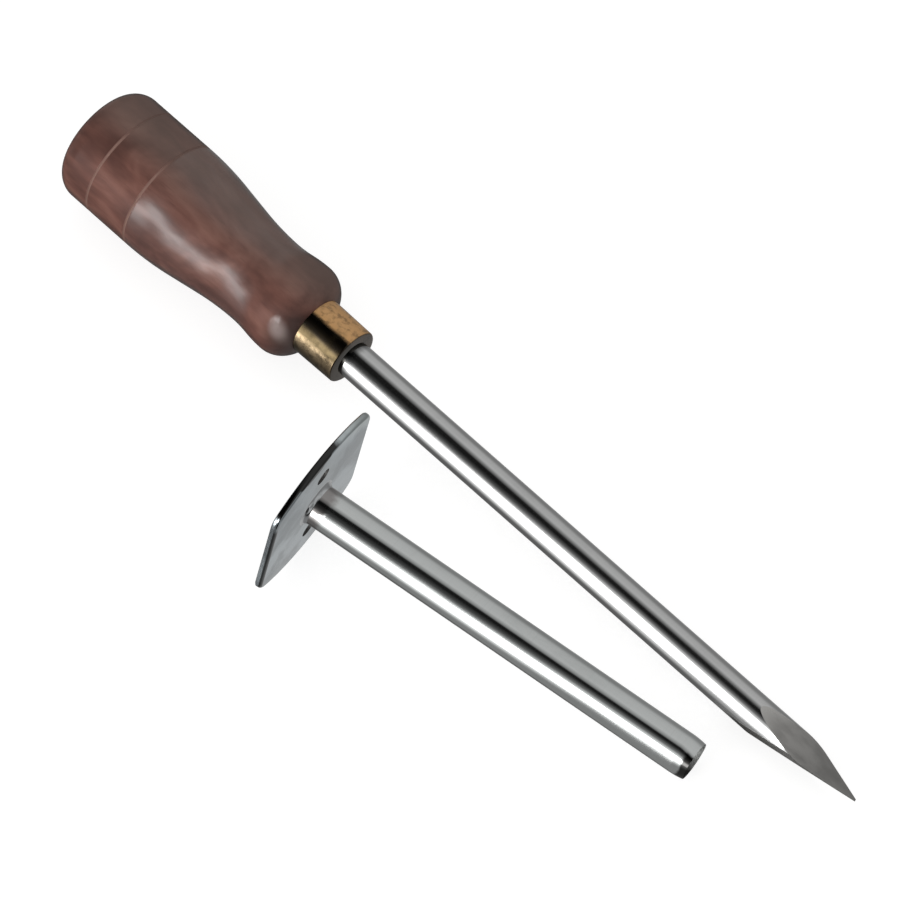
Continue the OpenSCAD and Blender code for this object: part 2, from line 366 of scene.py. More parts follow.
class Pattern:
    """Nodes that work out values, in a material or in the world, from a place or a direction."""

    def __init__(self, tree, coordinates="Generated"):
        self.nodes = tree.nodes
        self.links = tree.links
        self.start = self.nodes.new("ShaderNodeTexCoord").outputs[coordinates]

    def feed(self, socket, value):
        """Gives a socket another node's output, a plain number or a colour."""
        if isinstance(value, bpy.types.NodeSocket):
            self.links.new(value, socket)
        elif isinstance(value, (int, float)):
            socket.default_value = value
        else:
            socket.default_value = (*value, 1.0)

    def combine(self, operation, first, *others):
        """Combines values, two at a time."""
        for other in others:
            node = self.nodes.new("ShaderNodeMath")
            node.operation = operation
            self.feed(node.inputs[0], first)
            self.feed(node.inputs[1], other)
            first = node.outputs["Value"]
        return first

    def add(self, *values):
        return self.combine("ADD", *values)

    def times(self, *values):
        return self.combine("MULTIPLY", *values)

    def most(self, *values):
        return self.combine("MAXIMUM", *values)

    def less(self, value, taken):
        return self.combine("SUBTRACT", value, taken)

    def size_of(self, value):
        """A value without its sign."""
        return self.combine("ABSOLUTE", value, 0.0)

    def apart(self, aside, ahead):
        """The distance that two steps at right angles make."""
        return self.combine("POWER", self.add(self.times(aside, aside), self.times(ahead, ahead)), 0.5)

    def across(self, direction):
        """How far a place is from the middle, or how much a direction points, along an axis."""
        node = self.nodes.new("ShaderNodeVectorMath")
        node.operation = "DOT_PRODUCT"
        node.inputs[1].default_value = direction
        self.links.new(self.start, node.inputs[0])
        return node.outputs["Value"]

    def between(self, value, low, high, out_low=0.0, out_high=1.0, kind="SMOOTHSTEP"):
        """Maps a value from one range to another without overshoot."""
        node = self.nodes.new("ShaderNodeMapRange")
        node.interpolation_type = kind
        limits = {"From Min": low, "From Max": high, "To Min": out_low, "To Max": out_high}
        for key, number in limits.items():
            node.inputs[key].default_value = number
        self.links.new(value, node.inputs["Value"])
        return node.outputs["Result"]

    def ramp(self, value, stops):
        """A row of colours; each stop is a place from 0 to 1 and a colour."""
        node = self.nodes.new("ShaderNodeValToRGB")
        strip = node.color_ramp
        while len(strip.elements) < len(stops):
            strip.elements.new(0.5)
        for element, (place, tone) in zip(strip.elements, stops):
            element.position = place
            element.color = (*tone, 1.0)
        self.links.new(value, node.inputs["Fac"])
        return node.outputs["Color"]

    def for_rays(self, kind, theirs, others):
        """One shader for a kind of ray and another for all the rest."""
        path = self.nodes.new("ShaderNodeLightPath")
        node = self.nodes.new("ShaderNodeMixShader")
        self.links.new(path.outputs[kind], node.inputs["Fac"])
        self.links.new(others, node.inputs[1])
        self.links.new(theirs, node.inputs[2])
        return node.outputs[0]


class Recipe(Pattern):
    """A material under construction, with its patterns in a piece's own axes."""

    def __init__(self, name, place):
        self.material = bpy.data.materials.new(name)
        self.material.use_nodes = True
        super().__init__(self.material.node_tree, "Object")
        self.shader = self.nodes["Principled BSDF"]
        own = self.nodes.new("ShaderNodeMapping")
        own.vector_type = "TEXTURE"
        own.inputs["Location"].default_value, own.inputs["Rotation"].default_value = place
        self.links.new(self.start, own.inputs["Vector"])
        self.start = own.outputs["Vector"]

    def noise(self, scale, detail=4.0, rough=0.55, twist=0.0):
        """Cloudy noise; scale gives how many waves there are per metre along each axis."""
        stretch = self.nodes.new("ShaderNodeMapping")
        stretch.inputs["Scale"].default_value = scale
        self.links.new(self.start, stretch.inputs["Vector"])
        node = self.nodes.new("ShaderNodeTexNoise")
        settings = {"Scale": 1.0, "Detail": detail, "Roughness": rough, "Distortion": twist}
        for key, number in settings.items():
            node.inputs[key].default_value = number
        self.links.new(stretch.outputs["Vector"], node.inputs["Vector"])
        return node.outputs["Fac"]

    def mix(self, factor, a, b):
        """Blends two colours."""
        node = self.nodes.new("ShaderNodeMix")
        node.data_type = "RGBA"
        sockets = {socket.identifier: socket for socket in node.inputs}
        for key, value in (("Factor_Float", factor), ("A_Color", a), ("B_Color", b)):
            self.feed(sockets[key], value)
        return next(socket for socket in node.outputs if socket.identifier == "Result_Color")

    def height(self, value, distance, strength=1.0, under=None):
        """A bump from a height value; distance is the full height in metres."""
        node = self.nodes.new("ShaderNodeBump")
        node.inputs["Distance"].default_value = distance
        node.inputs["Strength"].default_value = strength
        self.links.new(value, node.inputs["Height"])
        if under is not None:
            self.links.new(under, node.inputs["Normal"])
        return node.outputs["Normal"]

    def wear(self, **sources):
        """Sets the shader's sockets, or links patterns to them, by name with underscores."""
        for key, source in sources.items():
            self.feed(self.shader.inputs[key.replace("_", " ")], source)
        return self.material

    def so_far(self, name):
        """What feeds one of the shader's sockets so far."""
        return self.shader.inputs[name].links[0].from_socket


def stained_wood(shape, place):
    """Red-brown stained and varnished wood, with its grain along the handle."""
    mat = Recipe("stained_wood", place)
    clouds = mat.noise((42, 85, 85), 3.0, 0.6, 0.5)
    streaks = mat.noise((60, 380, 380), 5.0, 0.6)
    pores = mat.noise((160, 1900, 1900), 3.0, 0.5)
    waves = mat.noise((14, 150, 150), 2.0, 0.5, 0.3)
    tone = mat.add(mat.times(clouds, 0.78), mat.times(streaks, 0.22))
    tones = ((0.0, shape.wood_dark), (0.5, shape.wood_mid), (1.0, shape.wood_light))
    wood = mat.ramp(mat.between(tone, 0.34, 0.68), tones)
    wood = mat.mix(mat.between(pores, 0.58, 0.74, 0.0, 0.35), wood, shape.wood_dark)
    along = mat.across(FORWARD)
    low = mat.across(LOW_SIDE)
    # Painted sheen: the wood is greyer on the high side
    high = mat.add(mat.across(SHEEN_SIDE), mat.times(clouds, 9 * MM))
    wood = mat.mix(mat.between(high, 3 * MM, 15 * MM, 0.0, 0.7), wood, shape.wood_sheen)
    # The bulb is darkened where it meets the ferrule, least on the high side
    neck = mat.between(mat.add(along, mat.times(clouds, 8 * MM)), -17 * MM, -9 * MM, 0.0, 0.8)
    wood = mat.mix(mat.times(neck, mat.between(high, 0, 6 * MM, 1.0, 0.1)), wood, shape.dirt)
    # The stain is worn off in the scored rings, least on the high side
    rings = [
        mat.between(mat.size_of(mat.add(along, at)), 0.25 * MM, 0.5 * MM, 0.9, 0.0)
        for at in (shape.ring_front, shape.ring_rear)
    ]
    patchy = mat.between(mat.noise((90, 90, 90), 2.0), 0.3, 0.6, 0.5, 1.0)
    worn = mat.times(mat.most(*rings), patchy, mat.between(high, 4 * MM, 14 * MM, 1.0, 0.15))
    wood = mat.mix(worn, wood, shape.ring_tone)
    # A painted highlight makes a pale patch on the bulb
    pale = mat.apart(mat.add(low, -7.1 * MM), mat.add(along, 16.5 * MM))
    pale = mat.add(pale, mat.times(clouds, 1.5 * MM))
    wood = mat.mix(mat.between(pale, 1.2 * MM, 4.2 * MM, 0.62, 0.0), wood, shape.painted_highlight)
    # Painted shade: the wood is darkened where it is seen aslant, towards its outline
    aslant = mat.nodes.new("ShaderNodeLayerWeight")
    aslant.inputs["Blend"].default_value = 0.5
    wood = mat.mix(mat.between(aslant.outputs["Facing"], 0.62, 0.9, 0.0, 0.75), wood, shape.dirt)
    # Hands have polished the grip in front of the rings, and of the bulb only one spot
    grip = mat.between(along, -shape.ring_front, MM - shape.ring_front, 0.06, 1.0)
    grip = mat.times(grip, mat.between(mat.noise((90, 330, 330), 3.0, 0.6), 0.36, 0.62, 1.0, 0.68))
    spot = mat.apart(mat.add(low, -6 * MM), mat.add(along, 17.3 * MM))
    spot = mat.between(spot, 0.5 * MM, 2.4 * MM, 1.0, 0.05)
    bulb = mat.between(along, -29 * MM, -25 * MM)
    waves = mat.times(waves, mat.between(bulb, 0.0, 1.0, 1.0, 0.1))
    return mat.wear(
        Base_Color=wood,
        Roughness=mat.between(mat.noise((120, 260, 260), 4.0), 0.3, 0.7, 0.45, 0.6),
        IOR=1.5,
        Specular_IOR_Level=0.22,
        Coat_Weight=mat.add(mat.times(grip, mat.less(1.0, bulb)), mat.times(bulb, spot)),
        Coat_Roughness=0.17,
        Coat_IOR=1.6,
        Normal=mat.height(streaks, 0.05 * MM, 0.6, mat.height(pores, 0.02 * MM, 0.5)),
        Coat_Normal=mat.height(waves, 0.15 * MM, 0.5),
    )


def old_brass(shape, place):
    """Brass with brown tarnish, painted dark and bright reflection bands along it, and fine turning lines.
    """
    mat = Recipe("old_brass", place)
    stains = mat.noise((170, 240, 240), 5.0, 0.62, 0.5)
    specks = mat.noise((700, 700, 700), 2.0, 0.5)
    lines = mat.noise((4200, 90, 90), 2.0, 0.5)
    # The bands are placed from the high side, 0, to the low side, 1: painted dark at the high edge, an
    # orange film, a painted dark reflection, tarnish, bright brass under a painted highlight, and tarnish
    # at the low edge
    ragged = 1.2 * MM
    down = mat.add(mat.across(LOWER_SIDE), mat.times(stains, ragged))
    down = mat.between(down, -shape.outside / 2, shape.outside / 2 + ragged, kind="LINEAR")
    streaks = (
        (0.0, shape.painted_dark), (0.06, shape.oxide), (0.34, shape.oxide), (0.4, shape.painted_dark),
        (0.56, shape.painted_dark), (0.64, shape.tarnish), (0.71, shape.tarnish), (0.77, shape.brass),
        (0.89, shape.brass), (0.96, shape.tarnish),
    )
    matt = ((0.0, grey(0.2)), (0.06, grey(0.75)), (0.34, grey(0.75)), (0.4, grey(0.0)))
    brass = mat.ramp(down, streaks)
    brass = mat.mix(mat.between(specks, 0.45, 0.7, 0.0, 0.5), brass, shade(shape.tarnish, 0.5))
    brass = mat.mix(mat.between(stains, 0.5, 0.7, 0.0, 0.5), brass, shape.tarnish)
    # Painted shade darkens the back edge, where the ferrule meets the bulb, and the front face round the
    # rod's root
    along = mat.across(FORWARD)
    back = mat.between(mat.add(along, mat.times(stains, 0.8 * MM)), -14.6 * MM, -13.9 * MM, 0.9, 0.0)
    front = mat.between(along, -0.3 * MM, 0, 0.0, 0.95)
    return mat.wear(
        Base_Color=mat.mix(mat.most(back, front), brass, shape.painted_dark),
        Metallic=mat.less(1.0, mat.ramp(down, matt)),
        Roughness=mat.between(stains, 0.35, 0.7, 0.12, 0.28),
        Normal=mat.height(lines, 0.002 * MM, 0.5, mat.height(stains, 0.012 * MM, 0.4)),
    )


def polished(name, tone, place, smudge, rough, patches=0.0):
    """Polished metal with faint wipe marks, polishing lines, slight waves and dull patches."""
    mat = Recipe(name, place)
    waves = mat.noise((9, 120, 120), 2.0, 0.5)
    haze = mat.noise((25, 140, 140), 2.0, 0.5)
    wipes = mat.noise((55, 210, 210), 5.0, 0.65, 0.6)
    lines = mat.noise((3800, 60, 60), 2.0, 0.5)
    dull = shade(tone, 0.86)
    shine = mat.mix(mat.between(wipes, 0.45, 0.75, 0.0, smudge), tone, dull)
    shine = mat.mix(mat.between(lines, 0.5, 0.72, 0.0, 0.4 * smudge), shine, dull)
    if patches:
        clouds = mat.noise((90, 90, 90), 3.0, 0.55, 0.3)
        shine = mat.mix(mat.between(clouds, 0.4, 0.62, 0.0, patches), shine, shade(tone, 0.4))
    mat.wear(
        Base_Color=shine,
        Metallic=1.0,
        Roughness=mat.between(haze, 0.35, 0.7, rough, 2 * rough),
        Normal=mat.height(waves, 0.03 * MM, 0.35),
    )
    return mat


def polished_rod(shape, place):
    """Polished steel, with painted shade where the rod leaves the ferrule, along its low edge and on the
    dull turned nose.
    """
    mat = polished("polished_steel", shape.steel, place, 0.5, 0.05)
    along = mat.across(FORWARD)
    # Painted shade darkens the rod where it leaves the ferrule
    ragged = mat.add(along, mat.times(mat.noise((200, 400, 400), 3.0), 2 * MM))
    root = mat.between(ragged, 1.2 * MM, 4.6 * MM, 0.93, 0.0)
    steel = mat.mix(root, mat.so_far("Base Color"), shape.stain)
    # The turned nose is dull and darkened with painted shade
    nose = mat.between(along, shape.reach - 24 * MM, shape.reach - 18.5 * MM)
    # A dull strip of painted dark reflection follows the low edge of the rod, which the facet there cuts
    # back towards the tip
    facet_from = shape.reach - 35 * MM
    cut_back = mat.times(mat.most(mat.less(along, facet_from), 0.0), math.tan(shape.facet))
    strip = mat.times(
        mat.between(mat.add(mat.across(LOW_SIDE), cut_back), 4.1 * MM, 4.5 * MM),
        mat.between(along, facet_from - 11 * MM, facet_from - MM),
    )
    dull = mat.most(strip, nose)
    return mat.wear(
        Base_Color=mat.mix(dull, steel, shape.stain),
        Metallic=mat.less(1.0, dull),
        Roughness=mat.most(mat.so_far("Roughness"), mat.times(dull, 0.5)),
    )


def soldered_tube(shape, place):
    """Polished chrome, stained and lumpy where the solder has run up from the flange."""
    mat = polished("chromed_tube", shape.chrome, place, 0.6, 0.045)
    lumps = mat.noise((230, 330, 330), 2.0, 0.5, 0.2)
    along = mat.across(FORWARD)
    root = mat.between(mat.add(along, mat.times(lumps, 6 * MM)), 7 * MM, 9.5 * MM, 1.0, 0.0)
    stained = mat.mix(mat.times(root, 0.85), mat.so_far("Base Color"), shape.stain)
    # Painted shade darkens the low side of the far end
    far = mat.add(along, mat.times(lumps, 2.5 * MM))
    low = mat.add(mat.across(LOWER_SIDE), mat.times(lumps, 2 * MM))
    end = mat.times(
        mat.between(far, shape.reach - 1.1 * MM, shape.reach - 0.1 * MM, 0.0, 0.95),
        mat.between(low, 0, MM),
    )
    return mat.wear(
        Base_Color=mat.mix(end, stained, shape.painted_dark),
        Normal=mat.height(mat.times(root, lumps), 0.12 * MM, 0.4, mat.so_far("Normal")),
    )


def plate_dark_reflections(mat, shape, along, side, up):
    """Painted dark reflections on the flange: on its upper edge, a little way down from there, and on the
    flat side.
    """
    front = shape.thick / 2
    flat = shape.width / 2
    ragged = mat.add(side, mat.times(mat.noise((300, 300, 300), 3.0), 5 * MM))
    # The painted dark reflection on the upper edge runs from the flat side to past the middle, and is
    # widest in the middle
    wide = mat.between(mat.size_of(side), 5 * MM, 12 * MM, 0.18 * MM, 0.0)
    edge = mat.times(
        mat.between(mat.less(along, wide), front - 0.5 * MM, front - 0.3 * MM, 1.0, 0.0),
        mat.between(up, 17.6 * MM, 18.2 * MM),
        mat.between(ragged, -4 * MM, -1.5 * MM, 0.0, 0.96),
    )
    # The painted reflection of the tube reaches furthest at its own middle; sunk is the depth under the
    # bowed edge
    bowed = mat.times(side, side, -0.5 / bow_radius(shape))
    sunk = mat.less(mat.add(bowed, shape.height / 2), up)
    off_middle = mat.size_of(mat.add(ragged, -7 * MM))
    deep = mat.between(off_middle, 1 * MM, 9 * MM, 2.6 * MM, 0.0)
    tube_reflection = mat.times(
        mat.between(mat.less(sunk, deep), -0.5 * MM, 0.1 * MM, 0.94, 0.0),
        mat.between(off_middle, 7 * MM, 9 * MM, 1.0, 0.0),
    )
    # A painted dark reflection runs down the rounding between the front and the flat side
    line = mat.times(
        mat.between(side, flat - 1.2 * MM, flat - 0.9 * MM, 0.0, 0.9),
        mat.between(along, front - 0.85 * MM, front - 0.6 * MM),
        mat.between(up, 12 * MM, 15 * MM, 1.0, 0.0),
    )
    return mat.most(edge, tube_reflection, line)


def chromed_plate(shape, place):
    """Polished chrome with dull patches, painted reflections in places and worn matt along one flat side.
    """
    mat = polished("chromed_plate", shape.plate, place, 0.8, 0.09, 0.6)
    along = mat.across(FORWARD)
    side = mat.across((0, -math.cos(shape.lean), math.sin(shape.lean)))
    up = mat.across((0, math.sin(shape.lean), math.cos(shape.lean)))
    worn = mat.between(side, shape.width / 2 - 0.3 * MM, shape.width / 2 - 0.1 * MM, 0.0, 0.4)
    # Painted reflections: above the tube the face is a little darker, but bright at the far corner
    corner = mat.add(up, mat.times(side, -0.6))
    darker = mat.times(
        mat.between(up, -2 * MM, 5 * MM, 0.0, 0.5),
        mat.between(corner, 19 * MM, 27 * MM, 1.0, 0.0),
    )
    chrome = mat.mix(darker, mat.so_far("Base Color"), shade(shape.plate, 0.5))
    chrome = mat.mix(mat.between(corner, 23 * MM, 31 * MM, 0.0, 0.7), chrome, (0.9, 0.97, 0.95))
    # The back is duller than the front, and has no painted dark reflections
    back = mat.between(along, 0.03 * MM - shape.thick / 2, 0.15 * MM - shape.thick / 2, 1.0, 0.0)
    chrome = mat.mix(mat.times(back, 0.6), chrome, (0.2, 0.21, 0.21))
    black = mat.times(plate_dark_reflections(mat, shape, along, side, up), mat.less(1.0, back))
    return mat.wear(
        Base_Color=mat.mix(black, chrome, shape.painted_dark),
        Roughness=mat.most(mat.so_far("Roughness"), worn, mat.times(back, 0.36)),
    )


def matt_painted_shade(name, place, scale, rough, bump, metallic, strength=0.6):
    """The matt and uneven surface of a painted shade, and the clouds that its colour can follow."""
    mat = Recipe(name, place)
    clouds = mat.noise(grey(scale), 4.0, 0.6)
    mat.wear(
        Metallic=metallic,
        Roughness=mat.between(clouds, 0.3, 0.7, rough, rough + 0.25),
        Normal=mat.height(clouds, bump, strength),
    )
    return mat, clouds


def painted_shade_facet(shape, place):
    """The facet that lies low, and the nose around it, matt and darkened with painted shade."""
    mat, clouds = matt_painted_shade("painted_shade_facet", place, 500, 0.45, 0.04 * MM, 0.4)
    patchy = mat.between(clouds, 0.4, 0.7, 0.0, 0.8)
    return mat.wear(Base_Color=mat.mix(patchy, shape.stain, shade(shape.stain, 2.2)))


def bore_painted_shade(shape, place):
    """Painted shade in the bore, which gives way to grey metal on the side towards the trocar."""
    mat, clouds = matt_painted_shade("bore_painted_shade", place, 400, 0.4, 0.03 * MM, 0.3, strength=0.5)
    away = mat.add(mat.across((0, -1, 0)), mat.times(clouds, 2 * MM))
    thick = mat.between(away, -MM, 2 * MM)
    return mat.wear(Base_Color=mat.mix(thick, (0.34, 0.35, 0.34), shade(shape.painted_dark, 0.3)))


def hole_painted_shade(shape, place):
    """Painted shade in the small holes, and painted light deeper in the upper one."""
    mat, clouds = matt_painted_shade("hole_painted_shade", place, 500, 0.45, 0.04 * MM, 0.1)
    deep = mat.add(mat.across(FORWARD), mat.times(clouds, 0.6 * MM))
    upper = mat.between(mat.across((0, 0, 1)), 0, MM)
    painted_light = mat.times(mat.between(deep, 0.1 * MM, 0.6 * MM, 1.0, 0.0), upper)
    return mat.wear(Base_Color=mat.mix(painted_light, shape.painted_dark, (0.95, 0.97, 0.98)))


def ground_steel(shape, place):
    """Matt steel with fine grinding lines across the facets, darker towards the tip."""
    mat = Recipe("ground_steel", place)
    lines = mat.noise((5200, 240, 240), 3.0, 0.6, 0.2)
    clouds = mat.noise((110, 320, 320), 4.0, 0.6)
    along = mat.across(FORWARD)
    steel = mat.mix(mat.between(clouds, 0.35, 0.7), shape.ground, shade(shape.ground, 0.82))
    # The facets run out gently into the polished rod
    rear = mat.between(along, shape.reach - 36 * MM, shape.reach - 23 * MM, 1.0, 0.0)
    steel = mat.mix(rear, steel, shade(shape.ground, 1.3))
    tip = mat.between(along, shape.reach - 34 * MM, shape.reach, 0.0, 0.55)
    return mat.wear(
        Base_Color=mat.mix(tip, steel, shade(shape.ground, 0.35)),
        Metallic=1.0,
        Roughness=mat.less(mat.between(clouds, 0.3, 0.7, 0.36, 0.5), mat.times(rear, 0.26)),
        Normal=mat.height(lines, 0.01 * MM, 0.6, mat.height(clouds, 0.03 * MM, 0.4)),
    )


def run_tin(shape, place):
    """Bright solder, lumpy where it was run in."""
    mat = Recipe("run_tin", place)
    lumps = mat.noise((420, 420, 420), 2.0, 0.5, 0.5)
    return mat.wear(
        Base_Color=mat.mix(mat.between(lumps, 0.45, 0.75, 0.0, 0.7), shape.tin, shade(shape.tin, 0.7)),
        Metallic=1.0,
        Roughness=mat.between(lumps, 0.3, 0.7, 0.08, 0.22),
        Normal=mat.height(lumps, 0.1 * MM, 0.6),
    )


# Shapes


def seat_angle(handle, ferrule):
    """How far round the bulb's front the ferrule's back edge sits."""
    return math.acos((ferrule.outside / 2 - handle.bulb / 2 + handle.bulb_front) / handle.bulb_front)


def handle_stations(handle, ferrule, stylet):
    """Stations of the handle from the butt to the tenon, then back through the tang's hole."""
    quarter = math.pi / 2
    swell_r = handle.swell / 2
    waist_r = handle.waist / 2
    bulb_r = handle.bulb / 2
    butt_flat = swell_r - handle.butt_round
    dome_r = (butt_flat**2 + handle.butt_dome**2) / (2 * handle.butt_dome)
    dome_at = -handle.reach + dome_r
    dome_angle = math.asin(butt_flat / (dome_r - handle.butt_round))
    round_at = dome_at - (dome_r - handle.butt_round) * math.cos(dome_angle)
    drop = swell_r - waist_r - (handle.swell_curve + handle.waist_curve) * (1 - math.cos(handle.taper))
    taper_from = -handle.swell_end + handle.swell_curve * math.sin(handle.taper)
    waist_at = taper_from + drop / math.tan(handle.taper) + handle.waist_curve * math.sin(handle.taper)
    rise = math.acos(1 - (bulb_r - waist_r) / (2 * handle.bulb_rise))
    rise_from = -handle.bulb_at - 2 * handle.bulb_rise * math.sin(rise)
    front = seat_angle(handle, ferrule)
    seat_at = -handle.bulb_at + handle.bulb_front * math.sin(front)
    path = bend((0, dome_at), dome_r, POLE / dome_r - quarter, dome_angle - quarter, 8)
    path += bend((butt_flat, round_at), handle.butt_round, dome_angle - quarter, 0, 16)[1:]
    groove = math.acos((handle.ring_tool - handle.ring_depth) / handle.ring_tool)
    for at in (handle.ring_rear, handle.ring_front):
        nose = (swell_r + handle.ring_tool - handle.ring_depth, -at)
        path += bend(nose, -handle.ring_tool, groove, -groove, 8)
    swell = bend((swell_r - handle.swell_curve, -handle.swell_end), handle.swell_curve, 0, handle.taper, 30)
    path += [station for station in swell if station[0] > path[-1][0] + EPS]
    hollow = (waist_r + handle.waist_curve, waist_at)
    path += bend(hollow, handle.waist_curve, math.pi + handle.taper, math.pi, 30)
    path += bend((waist_r + handle.bulb_rise, rise_from), handle.bulb_rise, math.pi, math.pi - rise, 30)
    path += bend((bulb_r - handle.bulb_rise, -handle.bulb_at), handle.bulb_rise, -rise, 0, 30)[1:]
    path += bend((bulb_r - handle.bulb_front, -handle.bulb_at), handle.bulb_front, 0, front, 60)[1:]
    tenon_r = ferrule.outside / 2 - ferrule.wall
    bevel = 0.3 * MM
    hole_r = stylet.tang / 2 + PLAY
    hole_end = -stylet.tang_reach - ferrule.end - 2 * MM
    tenon = [(seat_at, tenon_r), (-ferrule.end - bevel, tenon_r), (-ferrule.end, tenon_r - bevel)]
    hole = [(-ferrule.end, hole_r), (hole_end, hole_r), (hole_end, POLE)]
    return path + tenon + hole


def ferrule_stations(handle, ferrule, stylet):
    """Stations round the ferrule's wall, as a closed loop."""
    back = -handle.bulb_at + handle.bulb_front * math.sin(seat_angle(handle, ferrule))
    back_r = ferrule.outside / 2
    front_r = back_r - ferrule.narrowing
    tenon_r = back_r - ferrule.wall
    hole_r = stylet.neck / 2 + PLAY
    soft = 0.12 * MM
    path = [(back, back_r - soft), (back + soft, back_r)]
    path += bend((front_r - ferrule.rim, -ferrule.rim), ferrule.rim, 0, math.pi / 2, 6)
    path += [(0, hole_r + soft), (-soft, hole_r), (-ferrule.end, hole_r)]
    return path + [(-ferrule.end, tenon_r), (back, tenon_r)]


def stylet_stations(ferrule, stylet):
    """Stations of the tang, the neck, the rod and its nose, before the facets are ground."""
    tang_end = -ferrule.end - stylet.tang_reach
    bevel = 0.5 * MM
    soft = 0.08 * MM
    nose_at = stylet.reach - stylet.nose_reach
    nose = bend((stylet.rod / 2 - stylet.nose_curve, nose_at), stylet.nose_curve, 0, stylet.nose_slope, 12)
    cone_at, cone_r = nose[-1]
    tip_r = cone_r - (stylet.reach - cone_at) * math.tan(stylet.nose_slope)
    return [
        (tang_end, POLE),
        (tang_end, stylet.tang / 2 - bevel),
        (tang_end + bevel, stylet.tang / 2),
        (-ferrule.end, stylet.tang / 2),
        (-ferrule.end, stylet.neck / 2),
        (stylet.neck_reach, stylet.neck / 2),
        (stylet.neck_reach, stylet.rod / 2 - soft),
        (stylet.neck_reach + soft, stylet.rod / 2),
        *nose,
        (stylet.reach, tip_r),
        (stylet.reach, POLE),
    ]


def tube_stations(cannula):
    """Stations round the tube's wall, as a closed loop, narrowed in a curve at the far lip."""
    outer = cannula.outside / 2
    inner = cannula.bore / 2
    lip = inner + cannula.edge
    turn = math.acos(1 - (outer - lip) / cannula.end_curve)
    full = cannula.reach - cannula.end_curve * math.sin(turn)
    back = -cannula.thick / 2
    soft = 0.1 * MM
    path = [(back, outer - soft), (back + soft, outer)]
    path += bend((outer - cannula.end_curve, full), cannula.end_curve, 0, turn, 10)
    return path + [(cannula.reach, inner), (back, inner)]


def bow_radius(cannula):
    """Radius of the flange's bowed sides."""
    half = cannula.width / 2 - cannula.corner
    return (half**2 + cannula.bow**2) / (2 * cannula.bow)


def flange_outline(cannula):
    """The flange's outline as points across and up: two bowed sides, two flat ones, round corners."""
    half = cannula.width / 2 - cannula.corner
    bow_r = bow_radius(cannula)
    bow_at = cannula.height / 2 - bow_r
    corner_at = bow_at + math.sqrt((bow_r - cannula.corner) ** 2 - half**2)
    reach = math.asin(half / (bow_r - cannula.corner))
    bowed = bend((bow_at, 0), bow_r, reach, -reach, 24)
    corner = bend((corner_at, half), cannula.corner, math.pi / 2, reach, 12)[:-1]
    upper = corner + bowed + [(-y, z) for y, z in corner[::-1]]
    lower = [(-y, -z) for y, z in upper]
    return upper + lower


def cut_holes(piece, holes, depth):
    """Cuts round holes through a plate that lies across X; each hole is across, up and radius."""
    for across, up, radius in holes:
        clear_selection()
        bpy.ops.mesh.primitive_cylinder_add(
            vertices=96, radius=radius, depth=depth, location=(0, across, up), rotation=(0, math.pi / 2, 0)
        )
        drill = bpy.context.object
        only(piece)
        cut = piece.modifiers.new("drill", "BOOLEAN")
        cut.operation = "DIFFERENCE"
        cut.solver = "EXACT"
        cut.object = drill
        bpy.ops.object.modifier_apply(modifier=cut.name)
        bpy.data.objects.remove(drill)


def soften_edges(piece, width, segments):
    """Rounds the sharp edges a little and keeps the flat faces flat."""
    only(piece)
    bevel = piece.modifiers.new("soften", "BEVEL")
    bevel.width = width
    bevel.segments = segments
    bevel.limit_method = "ANGLE"
    bevel.angle_limit = math.radians(40)
    bpy.ops.object.modifier_apply(modifier=bevel.name)
    bpy.ops.object.shade_smooth_by_angle(angle=math.radians(35))
    flat = piece.modifiers.new("flat", "WEIGHTED_NORMAL")
    flat.keep_sharp = True
    bpy.ops.object.modifier_apply(modifier=flat.name)


# Operators


class TROCAR_OT_handle(bpy.types.Operator):
    """Turn the wooden handle, with its scored rings, tenon and tang hole"""

    bl_idname = "trocar.handle"
    bl_label = "Handle"
    bl_options = {"REGISTER", "UNDO"}

    def execute(self, context):
        scene = context.scene
        handle = scene.trocar_handle
        place = trocar_place(scene.trocar_stylet)
        stations = handle_stations(handle, scene.trocar_ferrule, scene.trocar_stylet)
        piece = turn_on_lathe("wooden_handle", stations, 144)
        wood = stained_wood(handle, place)
        finish_piece(piece, place, "trocar", "handle", "handle_wood", wood, crease=30)
        return {"FINISHED"}


class TROCAR_OT_ferrule(bpy.types.Operator):
    """Turn the brass ferrule, with its end wall and rounded rim"""

    bl_idname = "trocar.ferrule"
    bl_label = "Ferrule"
    bl_options = {"REGISTER", "UNDO"}

    def execute(self, context):
        scene = context.scene
        place = trocar_place(scene.trocar_stylet)
        stations = ferrule_stations(scene.trocar_handle, scene.trocar_ferrule, scene.trocar_stylet)
        piece = turn_on_lathe("brass_ferrule", stations, 128, closed=True)
        brass = old_brass(scene.trocar_ferrule, place)
        finish_piece(piece, place, "trocar", "ferrule", "ferrule_brass", brass, crease=24)
        return {"FINISHED"}


